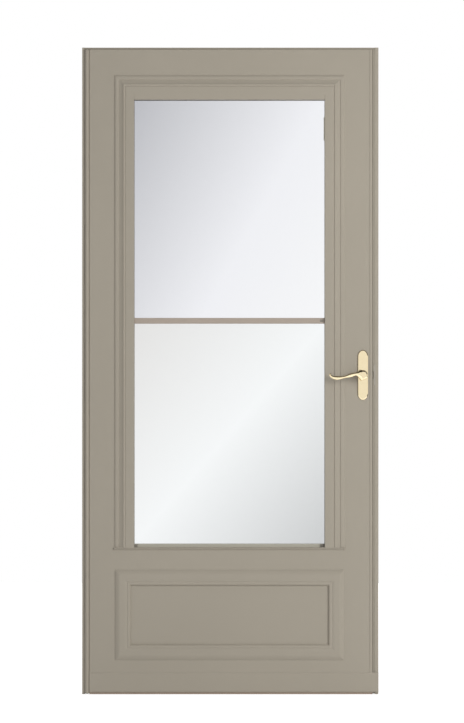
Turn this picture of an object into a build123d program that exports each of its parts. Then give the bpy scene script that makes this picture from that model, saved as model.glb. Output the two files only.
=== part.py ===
"""Storm door for a 36 in by 80 in doorway, shown shut and seen from outside.

The leaf hangs on a continuous hinge between two aluminium side rails. It has a tall window of two
lights in a moulded casing, a raised-moulding kick panel, a bottom expander and lever handles.

Millimetres. X runs from the hinge jamb to the latch jamb, Y from outside to inside, Z up from the sill.
The origin is on the hinge rail's jamb face, in line with the middle of the leaf's thickness.
"""

import math
import os

from build123d import *

os.makedirs("parts", exist_ok=True)

# Doorway and side rails
RAIL_HEIGHT = 2035.0
OPENING_WIDTH = 917.7
RAIL_WALL = 2.0
HINGE_FLANGE_REACH = 5.7
LATCH_FLANGE_REACH = 9.0
RAIL_DEPTH_BEHIND = 38.0
STOP_LIP_WIDTH = 14.2
HEAD_LIP_DEPTH = 23.0
SEAL_THICKNESS = 3.0
SEAL_MARGIN = 1.8

# Screw holes in the rails
SCREW_HOLE_RADIUS = 2.25
RAIL_SCREW_COUNT = 6
RAIL_SCREW_END = 160.0
HEAD_SCREW_SPACING = 600.0
SCREW_LINE_Y = 31.0

# Leaf slab
LEAF_THICKNESS = 25.4
LATCH_GAP = 7.6
HEAD_GAP = 5.1
RUNNING_GAP = 5.1
SLAB_BOTTOM = 16.0
HINGE_EDGE_RADIUS = 2.0
LATCH_EDGE_RADIUS = 3.5
BACK_EDGE_RADIUS = 1.5
EDGE_GROOVE_FROM_LATCH = 9.1
EDGE_GROOVE_WIDTH = 1.6
EDGE_GROOVE_DEPTH = 1.2

# Continuous hinge
PIN_RADIUS = 2.5
PIN_CLEARANCE = 0.05
BARREL_RADIUS = 7.0
BARREL_TO_RAIL = 0.6
BARREL_TO_LEAF = 0.3
BARREL_PROUD = 4.0
HINGE_STRIP = 1.5
HINGE_STRIP_END_Y = 11.0
HINGE_BOTTOM = 3.0
KNUCKLE_COUNT = 11
KNUCKLE_GAP = 0.5
PIN_OVERHANG = 1.5

# Window in the leaf
STILE_FACE_WIDTH = 78.25
TOP_RAIL_FACE_HEIGHT = 80.0
SILL_TOP = 462.7
SILL_FACE = 8.5
SILL_LEG = 3.7
SILL_PROUD = 7.0
SILL_FOOT_PROUD = 1.2
SILL_NOSE_HEIGHT = 1.8
CASING_WIDTH = 63.3
HEAD_CASING_WIDTH = 78.1
CASING_PROUD = 7.6
CASING_FLAT = 6.6
CASING_LEG = 2.5
CASING_LEG_INSET = 23.5
LIP_BACK_DEPTH = 4.7
SLAB_FIT = 0.3

# Glass, sash and beads
GLASS_THICKNESS = 3.0
GLASS_COVER = 13.0
GROOVE_SLACK = 0.1
GLASS_BITE = 6.0
MEETING_RAIL_HEIGHT = 18.0
MEETING_RAIL_PROUD = 2.5
SASH_RAIL_HEIGHT = 10.1
SASH_STILE_WIDTH = 17.0
SASH_STILE_HIDDEN = 2.4
SASH_FIT = 0.3
BEAD_DEPTH = 5.4
BEAD_SETBACK = 1.4
GLIDE_WIDTH = 9.8
GLIDE_HEIGHT = 8.0
BUTTON_PROUD = 1.0
CLIP_BELOW_HEAD = 54.3
CLIP_LENGTH = 74.0
CLIP_WIDTH = 3.2

# Inside trim round the window
TRIM_WIDTH = 48.0
TRIM_THICKNESS = 5.0
TRIM_EDGE_RADIUS = 1.5
TRIM_SILL_WIDTH = 24.0

# Raised moulding on the kick panel
MOULDING_FROM_EDGE = 80.55
MOULDING_BOTTOM = 107.7
MOULDING_TOP = 391.9
MOULDING_WIDTH = 50.0
MOULDING_PROUD = 6.5
FIELD_DEPTH = 2.5

# Bottom expander and sweep
EXPANDER_TOP = 69.0
EXPANDER_BACK_TOP = 45.0
EXPANDER_BOTTOM = 7.6
EXPANDER_WALL = 1.4
EXPANDER_FIT = 0.2
EXPANDER_BEAD = 1.1
EXPANDER_LIP_SLOPE = 3.4
SWEEP_BASE = 2.0
SWEEP_FIN = 1.5
SWEEP_BOTTOM = 0.5
SWEEP_FIN_PLACES = (-11.0, -3.0, 6.0)

# Lever handle set
LEVER_FROM_GROOVE = 21.5
LEVER_Z = 1004.7
PLATE_WIDTH = 33.1
PLATE_HEIGHT = 157.2
PLATE_END_LENGTH = 22.0
PLATE_THICKNESS = 4.5
PLATE_EDGE_RADIUS = 3.0
LEVER_RUNNING_GAP = 0.3
HUB_RADIUS = 15.3
NECK_RADIUS = 9.5
HEAD_RADIUS = 13.5
HEAD_PROUD = 5.4
HEAD_THICKNESS = 8.0
HEAD_FLARE = 5.2
HEAD_EDGE_RADIUS = 4.5
TIP_RADIUS = 3.9
LEVER_REACH_OUT = 32.0
SPINDLE_SIZE = 8.0
SPINDLE_HOLE_RADIUS = 9.0

# Latch and strike
BOLT_WIDTH = 9.0
BOLT_HEIGHT = 18.0
BOLT_LENGTH = 17.0
BOLT_NOSE = 1.5
BOLT_FIT = 0.2
FACE_PLATE_WIDTH = 18.0
FACE_PLATE_HEIGHT = 56.0
FACE_PLATE_THICKNESS = 1.2
STRIKE_THICKNESS = 0.8
STRIKE_SETBACK = 0.4
STRIKE_BACK_Y = 11.0
STRIKE_HEIGHT = 64.0
STRIKE_HOLE_MARGIN = 2.0

# Places worked out from the sizes above
face_y = -LEAF_THICKNESS / 2
back_y = LEAF_THICKNESS / 2
pin_x = RAIL_WALL + BARREL_TO_RAIL + BARREL_RADIUS
pin_y = face_y - BARREL_PROUD + BARREL_RADIUS
leaf_left = pin_x + BARREL_RADIUS + BARREL_TO_LEAF
leaf_right = OPENING_WIDTH - RAIL_WALL - LATCH_GAP
leaf_top = RAIL_HEIGHT - RAIL_WALL - HEAD_GAP
groove_x = leaf_right - EDGE_GROOVE_FROM_LATCH
expander_front = face_y - EXPANDER_FIT - EXPANDER_WALL
expander_back = back_y + EXPANDER_FIT + EXPANDER_WALL
flange_y = expander_front + EXPANDER_WALL + RUNNING_GAP
seal_y = expander_back + RUNNING_GAP
lip_y = seal_y + SEAL_THICKNESS
lip_top = RAIL_HEIGHT - RAIL_WALL - HEAD_LIP_DEPTH
latch_web_x = OPENING_WIDTH - RAIL_WALL

casing_left = leaf_left + STILE_FACE_WIDTH
casing_right = groove_x - STILE_FACE_WIDTH
casing_top = leaf_top - TOP_RAIL_FACE_HEIGHT
daylight_left = casing_left + CASING_WIDTH
daylight_right = casing_right - CASING_WIDTH
daylight_top = casing_top - HEAD_CASING_WIDTH
meeting_rail_bottom = (SILL_TOP + daylight_top) / 2
cut_left = daylight_left - CASING_LEG_INSET - SLAB_FIT
cut_right = daylight_right + CASING_LEG_INSET + SLAB_FIT
cut_top = daylight_top + CASING_LEG_INSET + SLAB_FIT
cut_bottom = SILL_TOP - SILL_LEG - SLAB_FIT
glass_front = face_y + LIP_BACK_DEPTH
glass_back = glass_front + GLASS_THICKNESS
bead_back = glass_back + BEAD_DEPTH
sash_front = bead_back + SASH_FIT
sash_back = back_y - SASH_FIT
channel_left = daylight_left - CASING_LEG_INSET + CASING_LEG
channel_right = daylight_right + CASING_LEG_INSET - CASING_LEG
channel_top = daylight_top + CASING_LEG_INSET - CASING_LEG

lever_x = groove_x - LEVER_FROM_GROOVE
plate_front = face_y - PLATE_THICKNESS
hub_base = plate_front - LEVER_RUNNING_GAP

pieces = {}


def block(low, high):
    """A plain block between two corners, kept out of any open builder."""
    size = [b - a for a, b in zip(low, high)]
    middle = [(a + b) / 2 for a, b in zip(low, high)]
    return Pos(*middle) * Box(*size, mode=Mode.PRIVATE)


def plan(z):
    """A level sketch plane at height z, with X across and Y inwards."""
    return Plane.XY.offset(z)


def side_plane(x):
    """An upright sketch plane at x: its own x is Y and its own y is Z, and it extrudes towards +X."""
    return Plane(origin=(x, 0, 0), x_dir=(0, 1, 0), z_dir=(1, 0, 0))


# Side rails: Z sections with a casing flange, a web on the jamb and a stop lip behind the leaf
screw_pitch = (RAIL_HEIGHT - 2 * RAIL_SCREW_END) / (RAIL_SCREW_COUNT - 1)
screw_heights = [RAIL_SCREW_END + i * screw_pitch for i in range(RAIL_SCREW_COUNT)]


def side_rail_section(web_outer, inwards, flange_reach):
    """The plan section of a side rail; inwards is +1 at the hinge jamb and -1 at the latch jamb."""
    web_inner = web_outer + inwards * RAIL_WALL
    flange_end = web_outer - inwards * flange_reach
    lip_end = web_inner + inwards * STOP_LIP_WIDTH
    Polygon(
        (flange_end, flange_y),
        (web_inner, flange_y),
        (web_inner, lip_y),
        (lip_end, lip_y),
        (lip_end, lip_y + RAIL_WALL),
        (web_inner, lip_y + RAIL_WALL),
        (web_inner, RAIL_DEPTH_BEHIND),
        (web_outer, RAIL_DEPTH_BEHIND),
        (web_outer, flange_y + RAIL_WALL),
        (flange_end, flange_y + RAIL_WALL),
        align=None,
    )


def rail_screw_holes(web_outer):
    """The row of jamb screws through a web, behind the stop lip."""
    with BuildSketch(side_plane(web_outer)) as holes:
        with Locations(*[(SCREW_LINE_Y, z) for z in screw_heights]):
            Circle(SCREW_HOLE_RADIUS)
    extrude(holes.sketch, amount=2 * RAIL_WALL, both=True, mode=Mode.SUBTRACT)


def trim_lip_under_head(x_low, x_high):
    """Cuts the stop lip back to the underside of the head lip."""
    add(block((x_low, lip_y, lip_top), (x_high, lip_y + RAIL_WALL, RAIL_HEIGHT)), mode=Mode.SUBTRACT)


with BuildPart() as hinge_rail:
    with BuildSketch(plan(0)):
        side_rail_section(0, 1, HINGE_FLANGE_REACH)
    extrude(amount=RAIL_HEIGHT)
    rail_screw_holes(0)
    trim_lip_under_head(RAIL_WALL, RAIL_WALL + STOP_LIP_WIDTH)
pieces["hinge_rail"] = hinge_rail

with BuildPart() as latch_rail:
    with BuildSketch(plan(0)):
        side_rail_section(OPENING_WIDTH, -1, LATCH_FLANGE_REACH)
    extrude(amount=RAIL_HEIGHT)
    rail_screw_holes(OPENING_WIDTH)
    trim_lip_under_head(latch_web_x - STOP_LIP_WIDTH, latch_web_x)
    with BuildSketch(side_plane(latch_web_x)):
        with Locations((0, LEVER_Z)):
            Rectangle(BOLT_WIDTH + STRIKE_HOLE_MARGIN, BOLT_HEIGHT + STRIKE_HOLE_MARGIN)
    extrude(amount=RAIL_WALL, mode=Mode.SUBTRACT)
pieces["latch_rail"] = latch_rail

# Head rail: an angle between the side rails, with its lip behind the leaf's top
with BuildPart() as head_rail:
    with BuildSketch(side_plane(RAIL_WALL)):
        Polygon(
            (flange_y + RAIL_WALL, RAIL_HEIGHT - RAIL_WALL),
            (lip_y, RAIL_HEIGHT - RAIL_WALL),
            (lip_y, lip_top),
            (lip_y + RAIL_WALL, lip_top),
            (lip_y + RAIL_WALL, RAIL_HEIGHT - RAIL_WALL),
            (RAIL_DEPTH_BEHIND, RAIL_HEIGHT - RAIL_WALL),
            (RAIL_DEPTH_BEHIND, RAIL_HEIGHT),
            (flange_y + RAIL_WALL, RAIL_HEIGHT),
            align=None,
        )
    extrude(amount=latch_web_x - RAIL_WALL)
    with BuildSketch(plan(RAIL_HEIGHT)):
        with Locations(
            (OPENING_WIDTH / 2 - HEAD_SCREW_SPACING / 2, SCREW_LINE_Y),
            (OPENING_WIDTH / 2 + HEAD_SCREW_SPACING / 2, SCREW_LINE_Y),
        ):
            Circle(SCREW_HOLE_RADIUS)
    extrude(amount=-2 * RAIL_WALL, mode=Mode.SUBTRACT)
pieces["head_rail"] = head_rail

# Weather seals: a flat base with a rounded front, on the face of each stop lip


def seal_section(middle, width):
    """A seal in section, in the sketch's own x and y, with its back on the lip."""
    with Locations((middle, lip_y - SEAL_THICKNESS / 4)):
        Rectangle(width, SEAL_THICKNESS / 2)
    with Locations((middle, lip_y - SEAL_THICKNESS / 2)):
        Ellipse(width / 2 - SEAL_MARGIN, SEAL_THICKNESS / 2)


seal_width = STOP_LIP_WIDTH - 2 * SEAL_MARGIN
with BuildPart() as hinge_seal:
    with BuildSketch(plan(0)):
        seal_section(RAIL_WALL + STOP_LIP_WIDTH / 2, seal_width)
    extrude(amount=lip_top)
pieces["hinge_seal"] = hinge_seal

with BuildPart() as latch_seal:
    with BuildSketch(plan(0)):
        seal_section(latch_web_x - STOP_LIP_WIDTH / 2, seal_width)
    extrude(amount=lip_top)
pieces["latch_seal"] = latch_seal

with BuildPart() as head_seal:
    head_seal_plane = Plane(origin=(RAIL_WALL, 0, 0), x_dir=(0, 0, -1), z_dir=(1, 0, 0))
    with BuildSketch(head_seal_plane):
        seal_section(-(lip_top + STOP_LIP_WIDTH / 2), seal_width)
    extrude(amount=latch_web_x - RAIL_WALL)
pieces["head_seal"] = head_seal

# Continuous hinge: two strips whose knuckles take turns along one pin
hinge_top = leaf_top
knuckle_pitch = (hinge_top - HINGE_BOTTOM) / KNUCKLE_COUNT
strip_start_y = pin_y + math.sqrt((BARREL_RADIUS + 2 * BARREL_TO_LEAF) ** 2 - (BARREL_RADIUS - HINGE_STRIP) ** 2)


def hinge_leaf(strip_low_x, first_knuckle):
    """One half of the hinge: a strip and every second knuckle, starting with first_knuckle."""
    strip_high_x = strip_low_x + HINGE_STRIP
    add(block((strip_low_x, strip_start_y, HINGE_BOTTOM), (strip_high_x, HINGE_STRIP_END_Y, hinge_top)))
    for i in range(first_knuckle, KNUCKLE_COUNT, 2):
        low = HINGE_BOTTOM + i * knuckle_pitch
        high = low + knuckle_pitch - KNUCKLE_GAP
        with BuildSketch(plan(low)) as knuckle:
            with Locations((pin_x, pin_y)):
                Circle(BARREL_RADIUS)
            Polygon(
                (strip_low_x, pin_y),
                (strip_high_x, pin_y),
                (strip_high_x, strip_start_y),
                (strip_low_x, strip_start_y),
                align=None,
            )
            with Locations((pin_x, pin_y)):
                Circle(PIN_RADIUS + PIN_CLEARANCE, mode=Mode.SUBTRACT)
        extrude(knuckle.sketch, amount=high - low)


with BuildPart() as frame_hinge_leaf:
    hinge_leaf(RAIL_WALL, 0)
pieces["frame_hinge_leaf"] = frame_hinge_leaf

with BuildPart() as door_hinge_leaf:
    hinge_leaf(leaf_left - HINGE_STRIP, 1)
pieces["door_hinge_leaf"] = door_hinge_leaf

with BuildPart() as hinge_pin:
    with BuildSketch(plan(HINGE_BOTTOM - PIN_OVERHANG)):
        with Locations((pin_x, pin_y)):
            Circle(PIN_RADIUS)
    extrude(amount=hinge_top - HINGE_BOTTOM + 2 * PIN_OVERHANG)
pieces["hinge_pin"] = hinge_pin

# Leaf slab: two stiles full height, with a top rail and a kick panel between them
leaf_height = leaf_top - SLAB_BOTTOM

with BuildPart() as hinge_stile:
    with BuildSketch(plan(SLAB_BOTTOM)) as hinge_stile_section:
        Polygon(
            (leaf_left, face_y),
            (cut_left, face_y),
            (cut_left, back_y),
            (leaf_left, back_y),
            align=None,
        )
        outer_corners = hinge_stile_section.vertices().group_by(Axis.X)[0].sort_by(Axis.Y)
        fillet(outer_corners[0], HINGE_EDGE_RADIUS)
        fillet(hinge_stile_section.vertices().group_by(Axis.X)[0].sort_by(Axis.Y)[-1], BACK_EDGE_RADIUS)
    extrude(amount=leaf_height)
pieces["hinge_stile"] = hinge_stile

with BuildPart() as latch_stile:
    with BuildSketch(plan(SLAB_BOTTOM)) as latch_stile_section:
        Polygon(
            (cut_right, face_y),
            (leaf_right, face_y),
            (leaf_right, back_y),
            (cut_right, back_y),
            align=None,
        )
        latch_corners = latch_stile_section.vertices().group_by(Axis.X)[-1].sort_by(Axis.Y)
        fillet(latch_corners[0], LATCH_EDGE_RADIUS)
        fillet(latch_stile_section.vertices().group_by(Axis.X)[-1].sort_by(Axis.Y)[-1], BACK_EDGE_RADIUS)
        with Locations((groove_x, face_y + EDGE_GROOVE_DEPTH / 2)):
            Rectangle(EDGE_GROOVE_WIDTH, EDGE_GROOVE_DEPTH, mode=Mode.SUBTRACT)
    extrude(amount=leaf_height)
    with BuildSketch(Plane.XZ):
        with Locations((lever_x, LEVER_Z)):
            Circle(SPINDLE_HOLE_RADIUS)
    extrude(amount=LEAF_THICKNESS, both=True, mode=Mode.SUBTRACT)
    with BuildSketch(side_plane(leaf_right)):
        with Locations((0, LEVER_Z)):
            Rectangle(BOLT_WIDTH + 2 * BOLT_FIT, BOLT_HEIGHT + 2 * BOLT_FIT)
    extrude(amount=-(BOLT_LENGTH - BOLT_NOSE + BOLT_FIT), mode=Mode.SUBTRACT)
    with BuildSketch(side_plane(leaf_right)):
        with Locations((0, LEVER_Z)):
            Rectangle(FACE_PLATE_WIDTH, FACE_PLATE_HEIGHT)
    extrude(amount=-FACE_PLATE_THICKNESS, mode=Mode.SUBTRACT)
pieces["latch_stile"] = latch_stile

with BuildPart() as top_rail:
    with BuildSketch(side_plane(cut_left)):
        Polygon(
            (face_y, cut_top),
            (back_y, cut_top),
            (back_y, leaf_top),
            (face_y, leaf_top),
            align=None,
        )
    extrude(amount=cut_right - cut_left)
pieces["top_rail"] = top_rail

moulding_left = leaf_left + MOULDING_FROM_EDGE
moulding_right = groove_x - MOULDING_FROM_EDGE
with BuildPart() as kick_panel:
    with BuildSketch(side_plane(cut_left)):
        Polygon(
            (face_y, SLAB_BOTTOM),
            (back_y, SLAB_BOTTOM),
            (back_y, cut_bottom),
            (face_y, cut_bottom),
            align=None,
        )
    extrude(amount=cut_right - cut_left)
    with BuildSketch(Plane.XZ.offset(-face_y)):
        Polygon(
            (moulding_left + MOULDING_WIDTH, MOULDING_BOTTOM + MOULDING_WIDTH),
            (moulding_right - MOULDING_WIDTH, MOULDING_BOTTOM + MOULDING_WIDTH),
            (moulding_right - MOULDING_WIDTH, MOULDING_TOP - MOULDING_WIDTH),
            (moulding_left + MOULDING_WIDTH, MOULDING_TOP - MOULDING_WIDTH),
            align=None,
        )
    extrude(amount=-FIELD_DEPTH, mode=Mode.SUBTRACT)
pieces["kick_panel"] = kick_panel

# Mouldings: a section drawn from its outer edge inwards, run along one side and mitred


def run_plane(side, left, right, bottom, top, y):
    """The section plane of one side of a frame: its own x runs inwards across the side, and y inwards
    through the leaf, so a height h in front of the face is drawn at -h."""
    planes = {
        "hinge_side": Plane(origin=(left, y, bottom), x_dir=(1, 0, 0), z_dir=(0, 0, 1)),
        "latch_side": Plane(origin=(right, y, top), x_dir=(-1, 0, 0), z_dir=(0, 0, -1)),
        "top": Plane(origin=(left, y, top), x_dir=(0, 0, -1), z_dir=(1, 0, 0)),
        "bottom": Plane(origin=(right, y, bottom), x_dir=(0, 0, 1), z_dir=(-1, 0, 0)),
    }
    return planes[side]


def keep_inside(*outline):
    """Keeps only what lies inside an outline seen from the front."""
    with BuildSketch(Plane.XZ) as front_view:
        Polygon(*outline, align=None)
    extrude(front_view.sketch, amount=10 * LEAF_THICKNESS, both=True, mode=Mode.INTERSECT)


def casing_section(width):
    """The window casing: a sloped edge, a shelf, a rise to a crest, then a flat band to the glass."""
    leg_outer = width - CASING_LEG_INSET
    leg_inner = leg_outer + CASING_LEG
    flat = -CASING_FLAT
    crest = -CASING_PROUD
    with BuildLine() as outline:
        Line((0, 0), (0, -0.5))
        ThreePointArc((0, -0.5), (3.2, -2.3), (6.8, -3.3))
        Line((6.8, -3.3), (12.0, -3.3))
        ThreePointArc((12.0, -3.3), (13.6, -2.8), (14.4, -1.7))
        Line((14.4, -1.7), (15.6, -1.7))
        ThreePointArc((15.6, -1.7), (21.8, -3.6), (27.8, -6.2))
        ThreePointArc((27.8, -6.2), (30.4, crest), (33.0, -6.2))
        Line((33.0, -6.2), (34.0, -5.6))
        Line((34.0, -5.6), (35.6, -5.6))
        ThreePointArc((35.6, -5.6), (36.8, -6.3), (38.6, flat))
        Line((38.6, flat), (width - 1.5, flat))
        ThreePointArc((width - 1.5, flat), (width - 0.44, flat + 0.44), (width, flat + 1.5))
        Line((width, flat + 1.5), (width, LIP_BACK_DEPTH))
        Line((width, LIP_BACK_DEPTH), (leg_inner, LIP_BACK_DEPTH))
        Line((leg_inner, LIP_BACK_DEPTH), (leg_inner, LEAF_THICKNESS))
        Line((leg_inner, LEAF_THICKNESS), (leg_outer, LEAF_THICKNESS))
        Line((leg_outer, LEAF_THICKNESS), (leg_outer, 0))
        Line((leg_outer, 0), (0, 0))
    make_face(outline.edges())


def stop_under_top_rail(low_x, high_x):
    """Cuts a jamb off behind the face, where the top rail closes the slab's opening."""
    jamb_end = (low_x, face_y, cut_top - SLAB_FIT)
    add(block(jamb_end, (high_x, back_y, casing_top)), mode=Mode.SUBTRACT)


with BuildPart() as window_head:
    with BuildSketch(run_plane("top", casing_left, casing_right, SILL_TOP, casing_top, face_y)):
        casing_section(HEAD_CASING_WIDTH)
    extrude(amount=casing_right - casing_left)
    keep_inside(
        (casing_left, casing_top),
        (casing_right, casing_top),
        (daylight_right, casing_top - CASING_WIDTH),
        (daylight_right, daylight_top),
        (daylight_left, daylight_top),
        (daylight_left, casing_top - CASING_WIDTH),
    )
pieces["window_head"] = window_head

with BuildPart() as window_jamb_hinge_side:
    with BuildSketch(run_plane("hinge_side", casing_left, casing_right, SILL_TOP, casing_top, face_y)):
        casing_section(CASING_WIDTH)
    extrude(amount=casing_top - SILL_TOP)
    keep_inside(
        (casing_left, SILL_TOP),
        (casing_left, casing_top),
        (daylight_left, casing_top - CASING_WIDTH),
        (daylight_left, SILL_TOP),
    )
    stop_under_top_rail(casing_left, daylight_left)
pieces["window_jamb_hinge_side"] = window_jamb_hinge_side

with BuildPart() as window_jamb_latch_side:
    with BuildSketch(run_plane("latch_side", casing_left, casing_right, SILL_TOP, casing_top, face_y)):
        casing_section(CASING_WIDTH)
    extrude(amount=casing_top - SILL_TOP)
    keep_inside(
        (casing_right, SILL_TOP),
        (casing_right, casing_top),
        (daylight_right, casing_top - CASING_WIDTH),
        (daylight_right, SILL_TOP),
    )
    stop_under_top_rail(daylight_right, casing_right)
pieces["window_jamb_latch_side"] = window_jamb_latch_side

with BuildPart() as window_sill:
    sill_bottom = SILL_TOP - SILL_FACE
    sill_nose = face_y - SILL_PROUD
    with BuildSketch(side_plane(casing_left)) as nosing:
        Polygon(
            (face_y, sill_bottom),
            (face_y - SILL_FOOT_PROUD, sill_bottom),
            (sill_nose, SILL_TOP - SILL_NOSE_HEIGHT),
            (sill_nose, SILL_TOP),
            (face_y, SILL_TOP),
            align=None,
        )
        fillet(nosing.vertices().group_by(Axis.X)[0], SILL_NOSE_HEIGHT / 3)
    extrude(amount=casing_right - casing_left)
    with BuildSketch(side_plane(cut_left + SLAB_FIT)):
        Polygon(
            (face_y, SILL_TOP - SILL_LEG),
            (back_y, SILL_TOP - SILL_LEG),
            (back_y, SILL_TOP),
            (face_y, SILL_TOP),
            align=None,
        )
    extrude(amount=cut_right - cut_left - 2 * SLAB_FIT)
pieces["window_sill"] = window_sill

# Inside trim: flat strips with eased edges, screwed on round the window


def trim_section(width):
    """A flat strip with both front edges rounded; the front faces the room."""
    with BuildLine() as outline:
        Line((0, 0), (width, 0))
        Line((width, 0), (width, TRIM_THICKNESS - TRIM_EDGE_RADIUS))
        RadiusArc(
            (width, TRIM_THICKNESS - TRIM_EDGE_RADIUS),
            (width - TRIM_EDGE_RADIUS, TRIM_THICKNESS),
            -TRIM_EDGE_RADIUS,
        )
        Line((width - TRIM_EDGE_RADIUS, TRIM_THICKNESS), (TRIM_EDGE_RADIUS, TRIM_THICKNESS))
        RadiusArc(
            (TRIM_EDGE_RADIUS, TRIM_THICKNESS),
            (0, TRIM_THICKNESS - TRIM_EDGE_RADIUS),
            -TRIM_EDGE_RADIUS,
        )
        Line((0, TRIM_THICKNESS - TRIM_EDGE_RADIUS), (0, 0))
    make_face(outline.edges())


trim_left = daylight_left - TRIM_WIDTH
trim_right = daylight_right + TRIM_WIDTH
trim_top = daylight_top + TRIM_WIDTH
trim_bottom = SILL_TOP - TRIM_SILL_WIDTH
trim_box = (trim_left, trim_right, trim_bottom, trim_top, back_y)

with BuildPart() as inner_trim_head:
    with BuildSketch(run_plane("top", *trim_box)):
        trim_section(TRIM_WIDTH)
    extrude(amount=trim_right - trim_left)
    keep_inside(
        (trim_left, trim_top),
        (trim_right, trim_top),
        (daylight_right, daylight_top),
        (daylight_left, daylight_top),
    )
pieces["inner_trim_head"] = inner_trim_head

with BuildPart() as inner_trim_sill:
    with BuildSketch(run_plane("bottom", *trim_box)):
        trim_section(TRIM_SILL_WIDTH)
    extrude(amount=trim_right - trim_left)
pieces["inner_trim_sill"] = inner_trim_sill

with BuildPart() as inner_trim_hinge_side:
    with BuildSketch(run_plane("hinge_side", *trim_box)):
        trim_section(TRIM_WIDTH)
    extrude(amount=trim_top - trim_bottom)
    keep_inside(
        (trim_left, SILL_TOP),
        (trim_left, trim_top),
        (daylight_left, daylight_top),
        (daylight_left, SILL_TOP),
    )
pieces["inner_trim_hinge_side"] = inner_trim_hinge_side

with BuildPart() as inner_trim_latch_side:
    with BuildSketch(run_plane("latch_side", *trim_box)):
        trim_section(TRIM_WIDTH)
    extrude(amount=trim_top - trim_bottom)
    keep_inside(
        (trim_right, SILL_TOP),
        (trim_right, trim_top),
        (daylight_right, daylight_top),
        (daylight_right, SILL_TOP),
    )
pieces["inner_trim_latch_side"] = inner_trim_latch_side

# Upper light: a fixed pane against the casing's lips, beads behind it and a meeting rail below
groove_width = GLASS_THICKNESS + 2 * GROOVE_SLACK
meeting_rail_top = meeting_rail_bottom + MEETING_RAIL_HEIGHT
upper_glass_bottom = meeting_rail_top - GLASS_BITE + GROOVE_SLACK

with BuildPart() as upper_glass:
    add(
        block(
            (daylight_left - GLASS_COVER, glass_front, meeting_rail_top + GROOVE_SLACK),
            (daylight_right + GLASS_COVER, glass_back, daylight_top + GLASS_COVER),
        )
    )
    add(
        block(
            (daylight_left + SASH_FIT, glass_front, upper_glass_bottom),
            (daylight_right - SASH_FIT, glass_back, meeting_rail_top + GROOVE_SLACK),
        )
    )
pieces["upper_glass"] = upper_glass

with BuildPart() as upper_meeting_rail:
    rail_front = glass_front - MEETING_RAIL_PROUD
    rail_rear = glass_back + MEETING_RAIL_PROUD
    with BuildSketch(side_plane(daylight_left + SASH_FIT)) as meeting_section:
        Polygon(
            (rail_front, meeting_rail_bottom),
            (rail_rear, meeting_rail_bottom),
            (rail_rear, meeting_rail_top),
            (rail_front, meeting_rail_top),
            align=None,
        )
        fillet(meeting_section.vertices().group_by(Axis.X)[0], MEETING_RAIL_PROUD / 2)
        with Locations(((glass_front + glass_back) / 2, meeting_rail_top - GLASS_BITE / 2)):
            Rectangle(groove_width, GLASS_BITE, mode=Mode.SUBTRACT)
    extrude(amount=daylight_right - daylight_left - 2 * SASH_FIT)
pieces["upper_meeting_rail"] = upper_meeting_rail

with BuildPart() as glazing_beads:
    bead_left = daylight_left - BEAD_SETBACK
    bead_right = daylight_right + BEAD_SETBACK
    bead_low = daylight_top + BEAD_SETBACK
    add(
        block(
            (channel_left, glass_back, meeting_rail_top),
            (bead_left, bead_back, channel_top),
        )
    )
    add(
        block(
            (bead_right, glass_back, meeting_rail_top),
            (channel_right, bead_back, channel_top),
        )
    )
    add(
        block(
            (bead_left + SASH_FIT, glass_back, bead_low),
            (bead_right - SASH_FIT, bead_back, channel_top),
        )
    )
pieces["glazing_beads"] = glazing_beads

# Lower light: a pane in a sash of two stiles, a meeting rail and a bottom rail, in the rear track
sash_glass_front = (sash_front + sash_back - GLASS_THICKNESS) / 2
sash_glass_middle = sash_glass_front + GLASS_THICKNESS / 2
stile_inner_left = daylight_left - SASH_STILE_HIDDEN
stile_inner_right = daylight_right + SASH_STILE_HIDDEN
sash_rail_top = SILL_TOP + SASH_RAIL_HEIGHT

with BuildPart() as lower_glass:
    add(
        block(
            (
                stile_inner_left - GLASS_BITE + GROOVE_SLACK,
                sash_glass_front,
                sash_rail_top - GLASS_BITE + GROOVE_SLACK,
            ),
            (
                stile_inner_right + GLASS_BITE - GROOVE_SLACK,
                sash_glass_front + GLASS_THICKNESS,
                meeting_rail_bottom + GLASS_BITE - GROOVE_SLACK,
            ),
        )
    )
pieces["lower_glass"] = lower_glass

with BuildPart() as sash_stiles:
    with BuildSketch(plan(SILL_TOP)):
        for inner_x, outwards in ((stile_inner_left, -1), (stile_inner_right, 1)):
            with Locations((inner_x + outwards * SASH_STILE_WIDTH / 2, (sash_front + sash_back) / 2)):
                Rectangle(SASH_STILE_WIDTH, sash_back - sash_front)
            with Locations((inner_x + outwards * GLASS_BITE / 2, sash_glass_middle)):
                Rectangle(GLASS_BITE, groove_width, mode=Mode.SUBTRACT)
    extrude(amount=meeting_rail_top - SILL_TOP)
pieces["sash_stiles"] = sash_stiles


def sash_cross_rail(low, high, groove_low, groove_high):
    """A rail between the sash stiles, with a groove for the edge of the pane."""
    with BuildSketch(side_plane(stile_inner_left)) as section:
        Polygon(
            (sash_front, low),
            (sash_back, low),
            (sash_back, high),
            (sash_front, high),
            align=None,
        )
        with Locations((sash_glass_middle, (groove_low + groove_high) / 2)):
            Rectangle(groove_width, groove_high - groove_low, mode=Mode.SUBTRACT)
    extrude(section.sketch, amount=stile_inner_right - stile_inner_left)


with BuildPart() as lower_meeting_rail:
    sash_cross_rail(
        meeting_rail_bottom, meeting_rail_top, meeting_rail_bottom, meeting_rail_bottom + GLASS_BITE
    )
pieces["lower_meeting_rail"] = lower_meeting_rail

with BuildPart() as sash_bottom_rail:
    sash_cross_rail(SILL_TOP, sash_rail_top, sash_rail_top - GLASS_BITE, sash_rail_top)
pieces["sash_bottom_rail"] = sash_bottom_rail

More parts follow.
